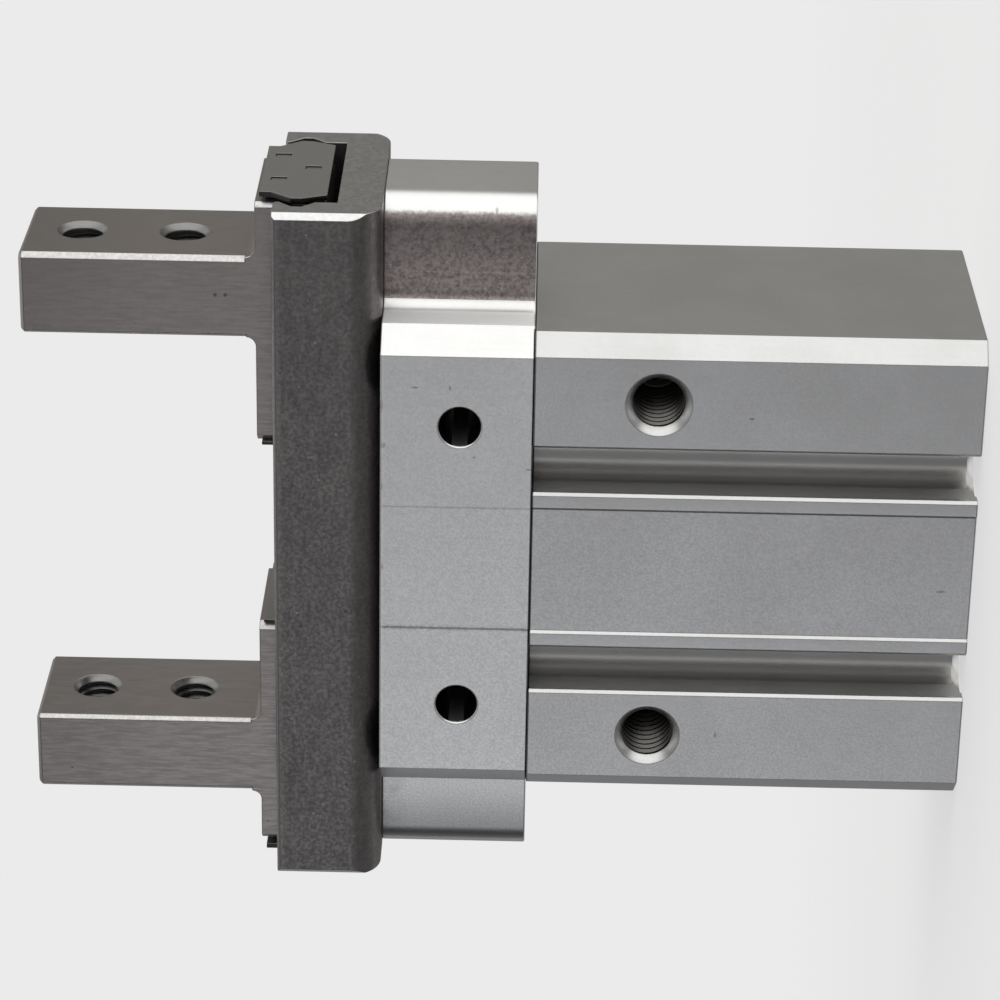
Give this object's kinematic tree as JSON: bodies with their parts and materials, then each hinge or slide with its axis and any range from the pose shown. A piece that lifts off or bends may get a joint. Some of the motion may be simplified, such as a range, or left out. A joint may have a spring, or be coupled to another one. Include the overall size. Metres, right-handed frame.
{
  "type": "pneumatic parallel gripper",
  "caption": "Pneumatic parallel gripper: grooved aluminium cylinder body, steel guide rail and drilled fingers that slide together on ball rows, moved by levers from a piston.",
  "frame": {"origin": "centre of the rear mounting face", "axes": "+Z from the rear face towards the finger tips, +X the way the right finger opens, air ports on the -Y face"},
  "size_m": [0.06, 0.0236, 0.0777],
  "materials": {
    "anodised": "matt clear anodised",
    "rail_steel": "matt ground",
    "finger_steel": "fine brushed along the finger",
    "stop_steel": "stamped sheet",
    "ball_steel": "polished bearing steel",
    "lever_steel": "hardened and ground",
    "pin_steel": "ground",
    "piston_alloy": "turned",
    "magnet": "dark bonded magnet",
    "seal_rubber": "black nitrile",
    "screw_black": "black oxide",
    "ring_spring_steel": "oiled spring steel"
  },
  "bodies": {
    "housing": {"cylinder_body": "anodised", "head_block": "anodised", "guide_rail": "rail_steel", "rod_cover": "piston_alloy", "rod_seal": "seal_rubber", "cover_gasket": "seal_rubber", "rod_bumper": "seal_rubber", "rear_cap": "piston_alloy", "cap_seal": "seal_rubber", "cap_ring": "ring_spring_steel", "cap_bumper": "seal_rubber", "lever_shafts": "pin_steel", "head_screws": "screw_black", "head_dowels": "pin_steel", "rail_screws": "screw_black", "rail_dowels": "pin_steel"},
    "finger_unit_right": {"finger_right": "finger_steel", "outer_stop_right": "stop_steel", "inner_stop_right": "stop_steel"},
    "finger_unit_left": {"finger_left": "finger_steel", "outer_stop_left": "stop_steel", "inner_stop_left": "stop_steel"},
    "ball_rows_right": {"balls_right": "ball_steel"},
    "ball_rows_left": {"balls_left": "ball_steel"},
    "piston_unit": {"piston": "piston_alloy", "magnet_retainer": "piston_alloy", "piston_magnet": "magnet", "piston_seal": "seal_rubber", "piston_rod": "pin_steel", "rod_joint": "lever_steel", "joint_pins": "pin_steel"},
    "lever_unit_right": {"lever_right": "lever_steel", "roller_right": "ball_steel", "roller_pin_right": "pin_steel"},
    "lever_unit_left": {"lever_left": "lever_steel", "roller_left": "ball_steel", "roller_pin_left": "pin_steel"}
  },
  "joints": [
    {"name": "finger_right_slide", "type": "slide", "parent": "housing", "child": "finger_unit_right", "axis": [-1, 0, 0], "range_m": [0, 0.005]},
    {"name": "finger_left_slide", "type": "slide", "parent": "housing", "child": "finger_unit_left", "axis": [1, 0, 0], "range_m": [0, 0.005]},
    {"name": "balls_right_roll", "type": "slide", "parent": "housing", "child": "ball_rows_right", "axis": [-1, 0, 0], "range_m": [0, 0.0025]},
    {"name": "balls_left_roll", "type": "slide", "parent": "housing", "child": "ball_rows_left", "axis": [1, 0, 0], "range_m": [0, 0.0025]},
    {"name": "piston_slide", "type": "slide", "parent": "housing", "child": "piston_unit", "axis": [0, 0, -1], "range_m": [0, 0.00324]},
    {"name": "lever_right_pivot", "type": "hinge", "parent": "housing", "child": "lever_unit_right", "pos_m": [0.0082, 0, 0.0456], "axis": [0, -1, 0], "range_deg": [0, 32.26]},
    {"name": "lever_left_pivot", "type": "hinge", "parent": "housing", "child": "lever_unit_left", "pos_m": [-0.0082, 0, 0.0456], "axis": [0, 1, 0], "range_deg": [0, 32.26]}
  ],
  "couplings": [
    {"joint": "finger_left_slide", "follows": "finger_right_slide", "ratio": 1},
    {"joint": "balls_right_roll", "follows": "finger_right_slide", "ratio": 0.5},
    {"joint": "balls_left_roll", "follows": "finger_right_slide", "ratio": 0.5},
    {"joint": "piston_slide", "follows": "finger_right_slide", "ratio": 0.6478},
    {"joint": "lever_right_pivot", "follows": "finger_right_slide", "rad_per_m": 112.59},
    {"joint": "lever_left_pivot", "follows": "finger_right_slide", "rad_per_m": 112.59}
  ]
}
